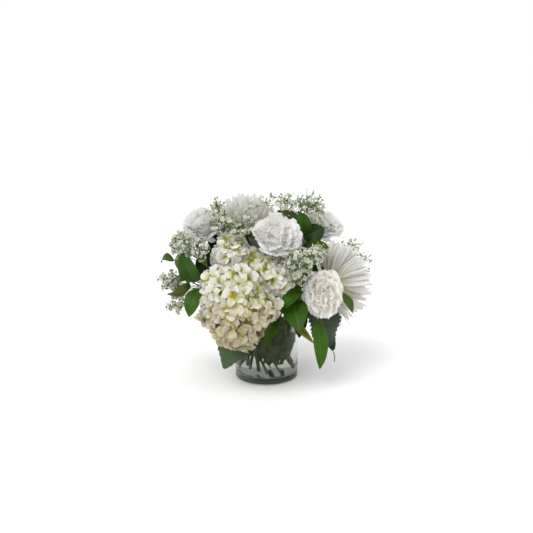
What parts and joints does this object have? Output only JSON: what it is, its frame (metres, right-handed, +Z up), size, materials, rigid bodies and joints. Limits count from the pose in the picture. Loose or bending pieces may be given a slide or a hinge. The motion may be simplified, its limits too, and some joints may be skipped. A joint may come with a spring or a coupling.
{
  "type": "funeral flower arrangement",
  "caption": "Round all-white arrangement of mophead hydrangea, carnations, football mums and baby's breath with glossy leaves, standing in water in a clear glass cylinder vase.",
  "frame": {"origin": "centre of the flat underside of the vase, on the surface it stands on", "axes": "+Z up the vase; the front of the arrangement, with the large hydrangea, faces -Y; +X is to the viewer's right"},
  "size_m": [0.4027, 0.3225, 0.3506],
  "materials": {
    "clear_glass": "clear polished glass, faintly grey-green",
    "water": "clear still water",
    "hydrangea_petal": "soft matt petals, white to cream with yellow-green hollows",
    "carnation_petal": "soft matt ruffled petals, white to warm cream",
    "mum_petal": "satin strap petals, white, cream at the heart",
    "gypsophila": "tiny matt white florets on thin green stems",
    "green_stem": "satin green stem",
    "woody_twig": "matt olive-brown twig",
    "salal_leaf": "waxy glossy green leaf",
    "hydrangea_leaf": "matt dark green veined leaf"
  },
  "bodies": {
    "root": {"carnation_back_top_bloom": "carnation_petal", "carnation_back_top_stem": "green_stem", "carnation_front_bloom": "carnation_petal", "carnation_front_stem": "green_stem", "carnation_left_bloom": "carnation_petal", "carnation_left_stem": "green_stem", "carnation_right_bloom": "carnation_petal", "carnation_right_stem": "green_stem", "carnation_upper_right_bloom": "carnation_petal", "carnation_upper_right_stem": "green_stem", "gypsophila_back": "gypsophila", "gypsophila_centre": "gypsophila", "gypsophila_far_left": "gypsophila", "gypsophila_left": "gypsophila", "gypsophila_right": "gypsophila", "gypsophila_top": "gypsophila", "gypsophila_upper_left": "gypsophila", "hydrangea_back_head": "hydrangea_petal", "hydrangea_back_stem": "green_stem", "hydrangea_front_head": "hydrangea_petal", "hydrangea_front_stem": "green_stem", "hydrangea_leaf_back": "hydrangea_leaf", "hydrangea_leaf_left": "hydrangea_leaf", "hydrangea_leaf_right": "hydrangea_leaf", "hydrangea_upper_head": "hydrangea_petal", "hydrangea_upper_stem": "green_stem", "mum_back_bloom": "mum_petal", "mum_back_stem": "green_stem", "mum_right_bloom": "mum_petal", "mum_right_stem": "green_stem", "mum_top_bloom": "mum_petal", "mum_top_stem": "green_stem", "salal_back_leaf_1": "salal_leaf", "salal_back_leaf_2": "salal_leaf", "salal_back_leaf_3": "salal_leaf", "salal_back_twig": "woody_twig", "salal_front_leaf_1": "salal_leaf", "salal_front_leaf_2": "salal_leaf", "salal_front_leaf_3": "salal_leaf", "salal_front_twig": "woody_twig", "salal_left_leaf_1": "salal_leaf", "salal_left_leaf_2": "salal_leaf", "salal_left_leaf_3": "salal_leaf", "salal_left_leaf_4": "salal_leaf", "salal_left_leaf_5": "salal_leaf", "salal_left_leaf_6": "salal_leaf", "salal_left_twig": "woody_twig", "salal_low_leaf_1": "salal_leaf", "salal_low_leaf_2": "salal_leaf", "salal_low_twig": "woody_twig", "salal_right_leaf_1": "salal_leaf", "salal_right_leaf_2": "salal_leaf", "salal_right_twig": "woody_twig", "salal_top_leaf_1": "salal_leaf", "salal_top_leaf_2": "salal_leaf", "salal_top_leaf_3": "salal_leaf", "salal_top_leaf_4": "salal_leaf", "salal_top_twig": "woody_twig", "vase": "clear_glass", "water": "water"}
  },
  "joints": []
}
